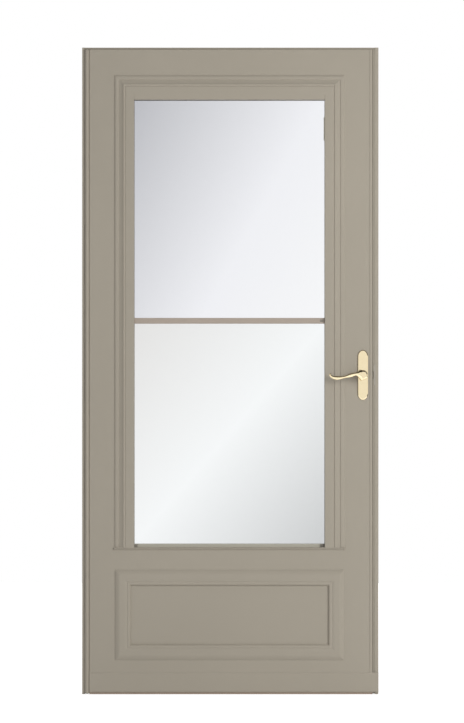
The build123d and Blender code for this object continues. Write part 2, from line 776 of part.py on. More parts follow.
# Small plastic pieces: two corner glides on the sill and a release button on the meeting rail
with BuildPart() as sash_glides:
    for glide_x in (daylight_left + SASH_FIT, daylight_right - SASH_FIT - GLIDE_WIDTH):
        with BuildSketch(side_plane(glide_x)) as glide_section:
            Polygon(
                (glass_front, SILL_TOP),
                (sash_front, SILL_TOP),
                (sash_front, SILL_TOP + GLIDE_HEIGHT),
                (glass_front, SILL_TOP + GLIDE_HEIGHT),
                align=None,
            )
            front_top = glide_section.vertices().group_by(Axis.X)[0].sort_by(Axis.Y)[-1]
            fillet(front_top, GLIDE_HEIGHT / 4)
        extrude(amount=GLIDE_WIDTH)
    with BuildSketch(Plane.XZ.offset(-(glass_front - MEETING_RAIL_PROUD))):
        with Locations((daylight_right - GLIDE_WIDTH, meeting_rail_bottom + MEETING_RAIL_HEIGHT / 2)):
            RectangleRounded(GLIDE_WIDTH, GLIDE_HEIGHT, GLIDE_HEIGHT / 4)
    extrude(amount=BUTTON_PROUD)
pieces["sash_glides"] = sash_glides

with BuildPart() as sash_clip:
    with BuildSketch(Plane.XZ.offset(-(glass_front - CLIP_WIDTH / 4))):
        with Locations((daylight_right - CLIP_WIDTH / 2, daylight_top - CLIP_BELOW_HEAD - CLIP_LENGTH / 2)):
            Rectangle(CLIP_WIDTH, CLIP_LENGTH)
    extrude(amount=2 * CLIP_WIDTH)
    clip_corners = sash_clip.edges().filter_by(Axis.Y).group_by(Axis.X)[0]
    fillet(clip_corners, CLIP_WIDTH / 2)
pieces["sash_clip"] = sash_clip

# Raised moulding of the kick panel: four mitred runs of one section


def panel_section():
    """From the outer edge: a slope up to a plateau, a step down, a bead and a fall to the sunken field."""
    top = -MOULDING_PROUD
    with BuildLine() as outline:
        Line((0, 0), (0, -0.8))
        ThreePointArc((0, -0.8), (6.8, -4.2), (15.5, top))
        Line((15.5, top), (30.0, top))
        ThreePointArc((30.0, top), (34.0, -5.9), (37.5, -4.7))
        Line((37.5, -4.7), (38.6, -4.7))
        ThreePointArc((38.6, -4.7), (41.4, -5.5), (44.4, -5.3))
        ThreePointArc((44.4, -5.3), (47.2, -3.9), (MOULDING_WIDTH - 1.2, -1.2))
        Line((MOULDING_WIDTH - 1.2, -1.2), (MOULDING_WIDTH, 0))
        Line((MOULDING_WIDTH, 0), (0, 0))
    make_face(outline.edges())


moulding_box = (moulding_left, moulding_right, MOULDING_BOTTOM, MOULDING_TOP, face_y)
inner_left = moulding_left + MOULDING_WIDTH
inner_right = moulding_right - MOULDING_WIDTH
inner_bottom = MOULDING_BOTTOM + MOULDING_WIDTH
inner_top = MOULDING_TOP - MOULDING_WIDTH
moulding_corners = {
    "bottom_left": ((moulding_left, MOULDING_BOTTOM), (inner_left, inner_bottom)),
    "bottom_right": ((moulding_right, MOULDING_BOTTOM), (inner_right, inner_bottom)),
    "top_right": ((moulding_right, MOULDING_TOP), (inner_right, inner_top)),
    "top_left": ((moulding_left, MOULDING_TOP), (inner_left, inner_top)),
}
moulding_runs = (
    ("top", "top_left", "top_right", moulding_right - moulding_left),
    ("bottom", "bottom_right", "bottom_left", moulding_right - moulding_left),
    ("hinge_side", "bottom_left", "top_left", MOULDING_TOP - MOULDING_BOTTOM),
    ("latch_side", "top_right", "bottom_right", MOULDING_TOP - MOULDING_BOTTOM),
)
for side, first, second, run_length in moulding_runs:
    with BuildPart() as panel_moulding:
        with BuildSketch(run_plane(side, *moulding_box)):
            panel_section()
        extrude(amount=run_length)
        outer_first, inner_first = moulding_corners[first]
        outer_second, inner_second = moulding_corners[second]
        keep_inside(outer_first, outer_second, inner_second, inner_first)
    pieces["panel_moulding_" + side] = panel_moulding

# Bottom expander: a channel over the foot of the slab, its front wall lapping the latch rail
with BuildPart() as bottom_expander:
    front_inner = expander_front + EXPANDER_WALL
    back_inner = expander_back - EXPANDER_WALL
    with BuildSketch(side_plane(leaf_left + SLAB_FIT)):
        Polygon(
            (expander_front, EXPANDER_BOTTOM),
            (expander_back, EXPANDER_BOTTOM),
            (expander_back, EXPANDER_BACK_TOP),
            (back_inner, EXPANDER_BACK_TOP),
            (back_inner, EXPANDER_BOTTOM + EXPANDER_WALL),
            (front_inner, EXPANDER_BOTTOM + EXPANDER_WALL),
            (front_inner, EXPANDER_TOP),
            (expander_front, EXPANDER_TOP - EXPANDER_LIP_SLOPE),
            align=None,
        )
        with Locations((expander_front, EXPANDER_BOTTOM + EXPANDER_BEAD)):
            Circle(EXPANDER_BEAD)
    extrude(amount=leaf_right - leaf_left - SLAB_FIT)
    with BuildSketch(side_plane(leaf_right)):
        Polygon(
            (expander_front, EXPANDER_BOTTOM),
            (front_inner, EXPANDER_BOTTOM),
            (front_inner, EXPANDER_TOP),
            (expander_front, EXPANDER_TOP - EXPANDER_LIP_SLOPE),
            align=None,
        )
        with Locations((expander_front, EXPANDER_BOTTOM + EXPANDER_BEAD)):
            Circle(EXPANDER_BEAD)
    extrude(amount=OPENING_WIDTH + LATCH_FLANGE_REACH - leaf_right)
pieces["bottom_expander"] = bottom_expander

with BuildPart() as door_sweep:
    with BuildSketch(side_plane(leaf_left + SLAB_FIT)):
        Polygon(
            (expander_front + EXPANDER_WALL, EXPANDER_BOTTOM - SWEEP_BASE),
            (expander_back - EXPANDER_WALL, EXPANDER_BOTTOM - SWEEP_BASE),
            (expander_back - EXPANDER_WALL, EXPANDER_BOTTOM),
            (expander_front + EXPANDER_WALL, EXPANDER_BOTTOM),
            align=None,
        )
        for fin_y in SWEEP_FIN_PLACES:
            with Locations((fin_y, (SWEEP_BOTTOM + EXPANDER_BOTTOM) / 2)):
                Rectangle(SWEEP_FIN, EXPANDER_BOTTOM - SWEEP_BOTTOM)
    extrude(amount=leaf_right - leaf_left - SLAB_FIT)
pieces["door_sweep"] = door_sweep


# Handle plates: straight sides with half-ellipse ends, one each side of the leaf
def handle_plate(direction):
    """A handle plate standing off a face towards direction, -1 outside and +1 inside."""
    straight = PLATE_HEIGHT / 2 - PLATE_END_LENGTH
    with BuildSketch(Plane.XZ.offset(-direction * back_y)) as outline:
        with Locations((lever_x, LEVER_Z)):
            Rectangle(PLATE_WIDTH, 2 * straight)
        with Locations((lever_x, LEVER_Z - straight), (lever_x, LEVER_Z + straight)):
            Ellipse(PLATE_WIDTH / 2, PLATE_END_LENGTH)
    extrude(outline.sketch, amount=-direction * PLATE_THICKNESS)


with BuildPart() as outside_plate:
    handle_plate(-1)
    fillet(outside_plate.faces().sort_by(Axis.Y)[0].edges(), PLATE_EDGE_RADIUS)
    with BuildSketch(Plane.XZ):
        with Locations((lever_x, LEVER_Z)):
            Circle(SPINDLE_HOLE_RADIUS)
    extrude(amount=LEAF_THICKNESS, mode=Mode.SUBTRACT)
pieces["outside_plate"] = outside_plate

with BuildPart() as inside_plate:
    handle_plate(1)
    fillet(inside_plate.faces().sort_by(Axis.Y)[-1].edges(), PLATE_EDGE_RADIUS)
    with BuildSketch(Plane.XZ):
        with Locations((lever_x, LEVER_Z)):
            Circle(SPINDLE_HOLE_RADIUS)
    extrude(amount=-LEAF_THICKNESS, mode=Mode.SUBTRACT)
pieces["inside_plate"] = inside_plate

# Levers: a turned hub and neck, and an arm of oval sections along an S curve that ends in a curl
# Each station is reach to the hinge side, height, distance out past the neck, and the oval's half sizes
LEVER_STATIONS = (
    (0.0, 1.2, 0.0, 8.6, 5.0),
    (18.0, 2.8, 2.0, 7.6, 4.8),
    (29.5, 2.3, 3.4, 5.1, 4.4),
    (40.5, -0.9, 4.0, 5.9, 4.4),
    (54.0, -4.8, 4.4, 4.3, 4.2),
    (75.0, -9.0, 4.0, 5.3, 4.2),
    (91.0, -8.2, 3.0, 5.5, 4.2),
    (100.0, -4.4, 2.4, 4.2, 3.8),
    (104.4, 1.2, 2.0, 3.0, 2.8),
)


def station_point(i, direction):
    """The centre of one section of a lever's arm; direction is -1 outside and +1 inside."""
    reach, height, out, _, _ = LEVER_STATIONS[i]
    return Vector(lever_x - reach, direction * (LEVER_REACH_OUT + out - hub_base), LEVER_Z + height)


def lever(direction):
    """A lever on its side of the leaf: the lofted arm, the turned hub, neck and head, and a ball tip."""
    sections = []
    last_station = len(LEVER_STATIONS) - 1
    for i, (_, _, _, half_height, half_depth) in enumerate(LEVER_STATIONS):
        ahead = station_point(min(i + 1, last_station), direction)
        behind = station_point(max(i - 1, 0), direction)
        station_plane = Plane(origin=station_point(i, direction), x_dir=(0, 1, 0), z_dir=ahead - behind)
        with BuildSketch(station_plane) as section:
            Ellipse(half_depth, half_height)
        sections.append(section.sketch)
    arm = loft(sections, mode=Mode.PRIVATE)
    head_front = LEVER_REACH_OUT + HEAD_PROUD
    head_side = head_front - HEAD_THICKNESS
    neck_end = head_side - HEAD_FLARE
    head_face = HEAD_RADIUS - HEAD_EDGE_RADIUS
    hub_origin = (lever_x, -direction * hub_base, LEVER_Z)
    with BuildSketch(Plane(origin=hub_origin, x_dir=(1, 0, 0), z_dir=(0, 0, -direction))) as half_hub:
        with BuildLine() as hub_line:
            Line((0, 0), (HUB_RADIUS, 0))
            Line((HUB_RADIUS, 0), (HUB_RADIUS, -2.4))
            ThreePointArc((HUB_RADIUS, -2.4), (HUB_RADIUS - 0.9, -4.3), (HUB_RADIUS - 3.0, -5.2))
            ThreePointArc((HUB_RADIUS - 3.0, -5.2), (NECK_RADIUS + 0.8, -7.0), (NECK_RADIUS, -10.5))
            Line((NECK_RADIUS, -10.5), (NECK_RADIUS, -neck_end))
            ThreePointArc((NECK_RADIUS, -neck_end), (NECK_RADIUS + 1.3, -neck_end - 2.9), (HEAD_RADIUS, -head_side))
            Line((HEAD_RADIUS, -head_side), (HEAD_RADIUS, HEAD_EDGE_RADIUS - head_front))
            CenterArc((head_face, HEAD_EDGE_RADIUS - head_front), HEAD_EDGE_RADIUS, 0, -90)
            Line((head_face, -head_front), (0, -head_front))
            Line((0, -head_front), (0, 0))
        make_face(hub_line.edges())
    hub = revolve(half_hub.sketch, axis=Axis((lever_x, 0, LEVER_Z), (0, 1, 0)), mode=Mode.PRIVATE)
    tip = Pos(*station_point(last_station, direction)) * Sphere(TIP_RADIUS, mode=Mode.PRIVATE)
    add(arm + hub + tip)


with BuildPart() as outside_lever:
    lever(-1)
pieces["outside_lever"] = outside_lever

with BuildPart() as inside_lever:
    lever(1)
pieces["inside_lever"] = inside_lever

with BuildPart() as spindle:
    with BuildSketch(Plane.XZ):
        with Locations((lever_x, LEVER_Z)):
            Rectangle(SPINDLE_SIZE, SPINDLE_SIZE)
    extrude(amount=-hub_base, both=True)
pieces["spindle"] = spindle

# Latch: a bolt drawn back in the stile, its face plate, and the strike on the latch rail
with BuildPart() as latch_bolt:
    bolt_front = leaf_right + BOLT_NOSE
    with BuildSketch(plan(LEVER_Z - BOLT_HEIGHT / 2)):
        Polygon(
            (bolt_front - BOLT_LENGTH, -BOLT_WIDTH / 2),
            (bolt_front - BOLT_NOSE, -BOLT_WIDTH / 2),
            (bolt_front, BOLT_WIDTH / 4),
            (bolt_front, BOLT_WIDTH / 2),
            (bolt_front - BOLT_LENGTH, BOLT_WIDTH / 2),
            align=None,
        )
    extrude(amount=BOLT_HEIGHT)
pieces["latch_bolt"] = latch_bolt

with BuildPart() as latch_face_plate:
    with BuildSketch(side_plane(leaf_right - FACE_PLATE_THICKNESS)):
        with Locations((0, LEVER_Z)):
            Rectangle(FACE_PLATE_WIDTH, FACE_PLATE_HEIGHT)
            Rectangle(BOLT_WIDTH + 2 * BOLT_FIT, BOLT_HEIGHT + 2 * BOLT_FIT, mode=Mode.SUBTRACT)
    extrude(amount=FACE_PLATE_THICKNESS)
pieces["latch_face_plate"] = latch_face_plate

with BuildPart() as strike_plate:
    with BuildSketch(side_plane(latch_web_x - STRIKE_THICKNESS)):
        strike_front = flange_y + STRIKE_SETBACK
        with Locations(((strike_front + STRIKE_BACK_Y) / 2, LEVER_Z)):
            Rectangle(STRIKE_BACK_Y - strike_front, STRIKE_HEIGHT)
        with Locations((0, LEVER_Z)):
            Rectangle(
                BOLT_WIDTH + STRIKE_HOLE_MARGIN, BOLT_HEIGHT + STRIKE_HOLE_MARGIN, mode=Mode.SUBTRACT
            )
    extrude(amount=STRIKE_THICKNESS)
pieces["strike_plate"] = strike_plate

for label, piece in pieces.items():
    piece.part.label = label
    export_step(piece.part, "parts/" + label + ".step")
print("pieces written:", len(pieces))
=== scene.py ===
import math

import bpy
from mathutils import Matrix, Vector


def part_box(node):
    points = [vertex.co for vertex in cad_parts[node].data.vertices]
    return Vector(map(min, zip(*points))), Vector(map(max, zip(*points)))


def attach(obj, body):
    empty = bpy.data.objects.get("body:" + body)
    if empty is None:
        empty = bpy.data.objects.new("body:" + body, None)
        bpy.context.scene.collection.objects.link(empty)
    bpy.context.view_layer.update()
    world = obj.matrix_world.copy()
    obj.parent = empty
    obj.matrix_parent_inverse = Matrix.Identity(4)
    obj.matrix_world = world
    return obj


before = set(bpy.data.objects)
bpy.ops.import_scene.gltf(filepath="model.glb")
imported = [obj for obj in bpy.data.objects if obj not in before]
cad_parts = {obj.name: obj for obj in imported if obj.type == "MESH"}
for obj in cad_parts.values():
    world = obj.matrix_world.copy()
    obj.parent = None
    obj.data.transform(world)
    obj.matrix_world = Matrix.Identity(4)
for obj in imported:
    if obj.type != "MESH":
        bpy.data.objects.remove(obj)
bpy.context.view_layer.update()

# A storm door in its frame rails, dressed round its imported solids: finishes, screws, edge seals, a
# studio and a camera. Metres. X runs from the hinge jamb to the latch jamb, Y from outside to inside,
# and Z up from the sill.

MM = 0.001


class Value:
    """A socket that carries a number; Python's operators on it add Math nodes."""

    def __init__(self, finish, socket):
        self.finish = finish
        self.socket = socket

    def maths(self, operation, first, second):
        return self.finish.node("ShaderNodeMath", {"operation": operation}, {0: first, 1: second})

    def __add__(self, other):
        return self.maths("ADD", self, other)

    def __radd__(self, other):
        return self.maths("ADD", other, self)

    def __sub__(self, other):
        return self.maths("SUBTRACT", self, other)

    def __rsub__(self, other):
        return self.maths("SUBTRACT", other, self)

    def __mul__(self, other):
        return self.maths("MULTIPLY", self, other)

    def __rmul__(self, other):
        return self.maths("MULTIPLY", other, self)

    def either(self, other):
        """The larger of two masks."""
        return self.maths("MAXIMUM", self, other)

    def twin(self, output):
        """Another output of the same node."""
        return Value(self.finish, self.socket.node.outputs[output])


class Finish:
    """A material, or the world, whose nodes are added one at a time."""

    def __init__(self, name, owner=None):
        self.data = owner or bpy.data.materials.new(name)
        self.data.use_nodes = True
        self.tree = self.data.node_tree
        self.shader = self.tree.nodes.get("Principled BSDF") or self.tree.nodes.get("Background")

    def node(self, kind, settings=None, values=None, output=0):
        """Adds a node: its settings first, then each socket's value or link. Gives one output."""
        made = self.tree.nodes.new(kind)
        for setting, value in (settings or {}).items():
            if setting == "stops":
                made.color_ramp.elements[0].position = value[0][0]
                made.color_ramp.elements[-1].position = value[-1][0]
                for place, _ in value[1:-1]:
                    made.color_ramp.elements.new(place)
                for element, (_, colour) in zip(made.color_ramp.elements, value):
                    element.color = (*colour, 1.0)
            else:
                setattr(made, setting, value)
        self.fill(made, values or {})
        return Value(self, made.outputs[output])

    def fill(self, made, values):
        """Sets or links sockets of a node by name or number."""
        for key, value in values.items():
            socket = made.inputs[key]
            if isinstance(value, Value):
                self.tree.links.new(value.socket, socket)
            else:
                socket.default_value = value

    def set(self, **values):
        """Sets or links sockets of the shader; an underscore stands for a space."""
        self.fill(self.shader, {name.replace("_", " "): value for name, value in values.items()})

    def noise(self, scale, detail=2.0, stretch=(1.0, 1.0, 1.0)):
        """Noise from 0 to 1 on the piece's own place, with its scale in cells a metre."""
        place = self.node("ShaderNodeTexCoord", output="Object")
        place = self.node("ShaderNodeMapping", None, {"Vector": place, "Scale": stretch})
        return self.node("ShaderNodeTexNoise", None, {"Vector": place, "Scale": scale, "Detail": detail})

    def mix(self, share, first, second):
        """A colour between two, by a number from 0 to 1. Sockets 6 and 7 of Mix take the colours."""
        colours = {0: share, 6: (*first, 1.0), 7: (*second, 1.0)}
        return self.node("ShaderNodeMix", {"data_type": "RGBA"}, colours, output=2)

    def bump(self, height, depth, strength):
        """Feeds a height to the shader's normal; depth is in metres."""
        values = {"Height": height, "Distance": depth, "Strength": strength}
        self.set(Normal=self.node("ShaderNodeBump", None, values))

    def shown(self):
        """1 where the camera, a mirror or glass looks at it, and 0 where it only lights the object."""
        seen = self.node("ShaderNodeLightPath", output="Is Camera Ray")
        return seen.either(seen.twin("Is Glossy Ray")).either(seen.twin("Is Transmission Ray"))


# Finishes of the door


def sandstone_enamel():
    """Satin enamel on aluminium: a faint drift of tone and a fine orange peel."""
    finish = Finish("sandstone_enamel")
    drift = finish.noise(1.6, 3.0)
    peel = finish.noise(420.0)
    finish.set(
        Base_Color=finish.mix(drift, (0.350, 0.315, 0.254), (0.398, 0.357, 0.289)),
        Roughness=0.40 + 0.08 * finish.noise(60.0) + 0.04 * peel,
    )
    finish.bump(peel, 0.00012, 0.35)
    return finish


def sash_enamel():
    """The sash extrusions' enamel, a little warmer, with faint draw lines along X."""
    finish = Finish("sash_enamel")
    lines = finish.noise(1.0, 3.0, (3.0, 900.0, 900.0))
    finish.set(
        Base_Color=finish.mix(finish.noise(4.0), (0.395, 0.335, 0.278), (0.435, 0.368, 0.308)),
        Roughness=0.38 + 0.12 * lines,
    )
    finish.bump(lines, 0.00005, 0.4)
    return finish


def extruded_vinyl(name, deep, pale):
    """Matt extruded vinyl, drifting between two tones."""
    finish = Finish(name)
    finish.set(
        Base_Color=finish.mix(finish.noise(9.0), deep, pale),
        Roughness=0.62 + 0.1 * finish.noise(500.0),
    )
    finish.bump(finish.noise(700.0), 0.00008, 0.4)
    return finish


def glide_plastic():
    """Moulded plastic, darker than the paint, with a fine grain."""
    finish = Finish("glide_plastic")
    grain = finish.noise(1500.0, 3.0)
    finish.set(
        Base_Color=finish.mix(finish.noise(40.0), (0.215, 0.196, 0.166), (0.250, 0.230, 0.196)),
        Roughness=0.5 + 0.15 * grain,
    )
    finish.bump(grain, 0.0001, 0.5)
    return finish


def sweep_vinyl():
    """Flexible vinyl, drawn in long lines, with a little dust."""
    finish = Finish("sweep_vinyl")
    lines = finish.noise(1.0, 3.0, (4.0, 1200.0, 60.0))
    finish.set(
        Base_Color=finish.mix(finish.noise(14.0, 4.0), (0.33, 0.265, 0.21), (0.39, 0.318, 0.255)),
        Roughness=0.6 + 0.2 * lines,
    )
    finish.bump(lines, 0.0001, 0.5)
    return finish


def seal_rubber():
    """Weather seal with a fine closed-cell skin."""
    finish = Finish("seal_rubber")
    cells = finish.noise(1100.0, 4.0)
    finish.set(
        Base_Color=finish.mix(finish.noise(25.0), (0.105, 0.097, 0.088), (0.135, 0.124, 0.112)),
        Roughness=0.72 + 0.2 * cells,
    )
    finish.bump(cells, 0.0002, 0.5)
    return finish


def seal_foam():
    """Skinned foam in the enamel's own tone, with a fine closed-cell surface."""
    finish = Finish("seal_foam")
    cells = finish.noise(900.0, 3.0)
    finish.set(
        Base_Color=finish.mix(finish.noise(12.0), (0.335, 0.302, 0.246), (0.365, 0.330, 0.270)),
        Roughness=0.7 + 0.2 * cells,
    )
    finish.bump(cells, 0.00015, 0.5)
    return finish


def zinc_steel():
    """Zinc-plated steel: cloudy plate over fine draw lines along Z."""
    finish = Finish("zinc_steel")
    clouds = finish.noise(70.0, 4.0)
    finish.set(
        Base_Color=finish.mix(clouds, (0.5, 0.5, 0.49), (0.62, 0.62, 0.6)),
        Metallic=1.0,
        Roughness=0.26 + 0.18 * clouds,
    )
    finish.bump(finish.noise(1.0, 3.0, (900.0, 900.0, 20.0)), 0.00006, 0.4)
    return finish


def polished_brass():
    """Polished and lacquered brass, with faint smears and the softest unevenness of the polish."""
    finish = Finish("polished_brass")
    smears = finish.noise(90.0, 5.0)
    finish.set(
        Base_Color=finish.mix(smears, (0.862, 0.730, 0.480), (0.890, 0.764, 0.516)),
        Metallic=1.0,
        Roughness=0.09 + 0.07 * smears,
    )
    finish.bump(finish.noise(160.0), 0.0001, 0.12)
    return finish


def glass_with_painted_reflection(name, node, lean, stops):
    """Clear sheet glass whose base colour holds a painted reflection, a gradient from its hinge-side head to
    its latch-side foot.

    Lean is the share of the painted reflection's gradient that runs across, and the rest of it runs down.
    """
    finish = Finish(name)
    low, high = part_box(node)
    place = finish.node("ShaderNodeTexCoord", output="Object")
    x = finish.node("ShaderNodeSeparateXYZ", None, {0: place}, output="X")
    across = (x - low.x) * (1.0 / (high.x - low.x))
    down = (high.z - x.twin("Z")) * (1.0 / (high.z - low.z))
    along = across * lean + down * (1.0 - lean)
    # Painted reflection: the pane's base colour follows the stops from corner to corner, darker where a
    # reflection would darken it
    painted_reflection = finish.node("ShaderNodeValToRGB", {"stops": stops}, {0: along})
    finish.set(Base_Color=painted_reflection, Roughness=0.0, Transmission_Weight=1.0, IOR=1.5)
    return finish


def dress(finish, *names):
    """Gives CAD nodes a finish."""
    for name in names:
        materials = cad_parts[name].data.materials
        materials.clear()
        materials.append(finish.data)


# Stops of each pane's painted reflection, in its base colour: the upper pane darker at its hinge-side head,
# the lower one grey at both ends and near white across its middle
UPPER_PAINTED_REFLECTION = ((0.0, (0.467, 0.473, 0.504)), (0.6, (0.863, 0.871, 0.904)), (1.0, (0.919, 0.927, 0.939)))
LOWER_PAINTED_REFLECTION = ((0.0, (0.760, 0.755, 0.745)), (0.5, (0.916, 0.936, 0.942)), (1.0, (0.576, 0.589, 0.596)))

enamel = sandstone_enamel()
sash_paint = sash_enamel()
bead_vinyl = extruded_vinyl("bead_vinyl", (0.315, 0.285, 0.238), (0.345, 0.312, 0.262))
# Painted light: a vinyl lighter than the pieces' own tone, so that the shaded sash clip and sash bottom rail
# read lighter than their shade allows
painted_light_vinyl = extruded_vinyl("painted_light_vinyl", (0.47, 0.45, 0.375), (0.52, 0.495, 0.415))
rubber = seal_rubber()
foam = seal_foam()
steel = zinc_steel()
brass = polished_brass()

dress(enamel, "hinge_rail", "latch_rail", "head_rail", "frame_hinge_leaf", "door_hinge_leaf")
dress(enamel, "hinge_stile", "latch_stile", "top_rail", "kick_panel", "bottom_expander")
dress(enamel, "window_head", "window_jamb_hinge_side", "window_jamb_latch_side", "window_sill")
dress(enamel, "inner_trim_head", "inner_trim_hinge_side", "inner_trim_latch_side", "inner_trim_sill")
dress(enamel, "panel_moulding_top", "panel_moulding_bottom")
dress(enamel, "panel_moulding_hinge_side", "panel_moulding_latch_side")
dress(sash_paint, "upper_meeting_rail", "lower_meeting_rail", "sash_stiles")
dress(bead_vinyl, "glazing_beads")
# The sash clip and bottom rail take the vinyl with painted light, set against the shade of the casing and
# sill
dress(painted_light_vinyl, "sash_clip", "sash_bottom_rail")
dress(glide_plastic(), "sash_glides")
dress(sweep_vinyl(), "door_sweep")
dress(rubber, "hinge_seal", "latch_seal", "head_seal")
dress(steel, "hinge_pin", "strike_plate", "latch_bolt", "latch_face_plate", "spindle")
dress(brass, "outside_plate", "inside_plate", "outside_lever", "inside_lever")
# Both panes carry a painted reflection in their base colour
dress(glass_with_painted_reflection("upper_glass_painted_reflection", "upper_glass", 0.62, UPPER_PAINTED_REFLECTION), "upper_glass")
dress(glass_with_painted_reflection("lower_glass_painted_reflection", "lower_glass", 0.5, LOWER_PAINTED_REFLECTION), "lower_glass")


# Tools for the new pieces


def deselect():
    """Leaves nothing selected, so that the next operator acts on its own piece alone."""
    bpy.ops.object.select_all(action="DESELECT")


def finished(name, parts, smooth_below, finish):
    """Joins parts as one named piece, smooth over edges below an angle in degrees, in its finish."""
    deselect()
    for part in parts:
        part.select_set(True)
    bpy.context.view_layer.objects.active = parts[0]
    if len(parts) > 1:
        bpy.ops.object.join()
    bpy.ops.object.shade_smooth_by_angle(angle=math.radians(smooth_below))
    piece = bpy.context.object
    piece.name = name
    piece.data.name = name
    piece.data.materials.append(finish.data)
    deselect()
    return piece


# Screws, with pan heads that have a cross recess

HEAD_SIDES = 28
DOME_SHARE = 0.6
RECESS_LENGTH = 1.1
RECESS_WIDTH = 0.2
RECESS_DEPTH = 1.1
QUARTER = math.pi / 2
TURNS = {"inside": (-QUARTER, 0, 0), "hinge_side": (0, -QUARTER, 0), "latch_side": (0, QUARTER, 0)}

# Radius and height of each kind of head
TRIM_HEAD = (3.6 * MM, 2.0 * MM)
HINGE_HEAD = (3.4 * MM, 1.3 * MM)
PLATE_HEAD = (3.2 * MM, 1.6 * MM)
FACE_PLATE_HEAD = (2.6 * MM, 0.6 * MM)
STRIKE_HEAD = (2.8 * MM, 0.6 * MM)
EXPANDER_HEAD = (3.4 * MM, 1.8 * MM)


def screw_head(radius, height):
    """A domed head with a cross recess, standing on z = 0 at the origin."""
    deselect()
    middle = (0, 0, height / 2)
    bpy.ops.mesh.primitive_cylinder_add(vertices=HEAD_SIDES, radius=radius, depth=height, location=middle)
    head = bpy.context.object
    dome = head.modifiers.new("dome", "BEVEL")
    dome.width = height * DOME_SHARE
    dome.segments = 4
    dome.limit_method = "ANGLE"
    bpy.ops.object.modifier_apply(modifier="dome")
    for turn in (0.0, QUARTER):
        deselect()
        bpy.ops.mesh.primitive_cube_add(size=1.0, location=(0, 0, height), rotation=(0, 0, turn))
        cutter = bpy.context.object
        cutter.scale = (radius * RECESS_LENGTH, radius * RECESS_WIDTH, height * RECESS_DEPTH)
        bpy.ops.object.transform_apply(location=False, rotation=True, scale=True)
        deselect()
        bpy.context.view_layer.objects.active = head
        head.select_set(True)
        recess = head.modifiers.new("recess", "BOOLEAN")
        recess.operation = "DIFFERENCE"
        recess.object = cutter
        bpy.ops.object.modifier_apply(modifier="recess")
        bpy.data.objects.remove(cutter)
    return head


def screws(name, head_size, facing, places, finish, body):
    """A set of like screws: one head, copied to each place and turned, joined as one piece."""
    head = screw_head(*head_size)
    deselect()
    copies = []
    for place in places:
        copy = head.copy()
        copy.data = head.data.copy()
        bpy.context.collection.objects.link(copy)
        copy.rotation_euler = TURNS[facing]
        copy.location = place
        copy.select_set(True)
        copies.append(copy)
    bpy.context.view_layer.objects.active = copies[0]
    bpy.ops.object.transform_apply(location=True, rotation=True, scale=True)
    bpy.data.objects.remove(head)
    group = finished(name, copies, 35, finish)
    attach(group, body)


def spaced(low, high, count):
    """Places from low to high, evenly spaced."""
    return [low + (high - low) * i / (count - 1) for i in range(count)]


# How far a head sinks into the face that it holds
SEAT = 0.1 * MM

# Screws through the inside trim
TRIM_SCREWS_ACROSS = 4
TRIM_SCREWS_DOWN = 6
head_low, head_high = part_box("inner_trim_head")
side_low, side_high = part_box("inner_trim_hinge_side")
far_low, far_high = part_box("inner_trim_latch_side")
sill_low, sill_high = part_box("inner_trim_sill")
trim_face = head_high.y - SEAT
hinge_line = (side_low.x + side_high.x) / 2
latch_line = (far_low.x + far_high.x) / 2
head_line = (head_low.z + head_high.z) / 2
sill_line = (sill_low.z + sill_high.z) / 2
trim_xs = spaced(hinge_line, latch_line, TRIM_SCREWS_ACROSS)
trim_places = [(x, trim_face, head_line) for x in trim_xs]
trim_places += [(x, trim_face, sill_line) for x in trim_xs]
for z in spaced(sill_line, head_line, TRIM_SCREWS_DOWN)[1:-1]:
    trim_places += [(hinge_line, trim_face, z), (latch_line, trim_face, z)]
screws("trim_screws", TRIM_HEAD, "inside", trim_places, enamel, "leaf")

# Screws through both strips of the continuous hinge
HINGE_STRIP = 1.5 * MM
HINGE_SCREWS = 11
HINGE_SCREW_Y = 3.0 * MM
HINGE_SCREW_END = 90 * MM
strip_low, strip_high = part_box("door_hinge_leaf")
rail_strip_low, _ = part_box("frame_hinge_leaf")
hinge_zs = spaced(strip_low.z + HINGE_SCREW_END, strip_high.z - HINGE_SCREW_END, HINGE_SCREWS)
leaf_strip_places = [(strip_high.x - HINGE_STRIP + SEAT, HINGE_SCREW_Y, z) for z in hinge_zs]
screws("hinge_screws_leaf", HINGE_HEAD, "hinge_side", leaf_strip_places, steel, "leaf")
rail_strip_places = [(rail_strip_low.x + HINGE_STRIP - SEAT, HINGE_SCREW_Y, z) for z in hinge_zs]
screws("hinge_screws_rail", HINGE_HEAD, "latch_side", rail_strip_places, steel, "frame")

# Screws of the handle set, its latch and the strike
PLATE_SCREW_END = 24 * MM
FACE_PLATE_SCREW_END = 6 * MM
STRIKE_SCREW_END = 7 * MM
plate_low, plate_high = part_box("inside_plate")
plate_x = (plate_low.x + plate_high.x) / 2
plate_zs = (plate_low.z + PLATE_SCREW_END, plate_high.z - PLATE_SCREW_END)
plate_places = [(plate_x, plate_high.y - SEAT, z) for z in plate_zs]
screws("plate_screws", PLATE_HEAD, "inside", plate_places, brass, "leaf")
face_low, face_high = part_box("latch_face_plate")
face_zs = (face_low.z + FACE_PLATE_SCREW_END, face_high.z - FACE_PLATE_SCREW_END)
face_places = [(face_high.x - SEAT, 0.0, z) for z in face_zs]
screws("face_plate_screws", FACE_PLATE_HEAD, "latch_side", face_places, steel, "leaf")
strike_low, strike_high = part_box("strike_plate")
strike_zs = (strike_low.z + STRIKE_SCREW_END, strike_high.z - STRIKE_SCREW_END)
strike_places = [(strike_low.x + SEAT, 0.0, z) for z in strike_zs]
screws("strike_screws", STRIKE_HEAD, "hinge_side", strike_places, steel, "frame")

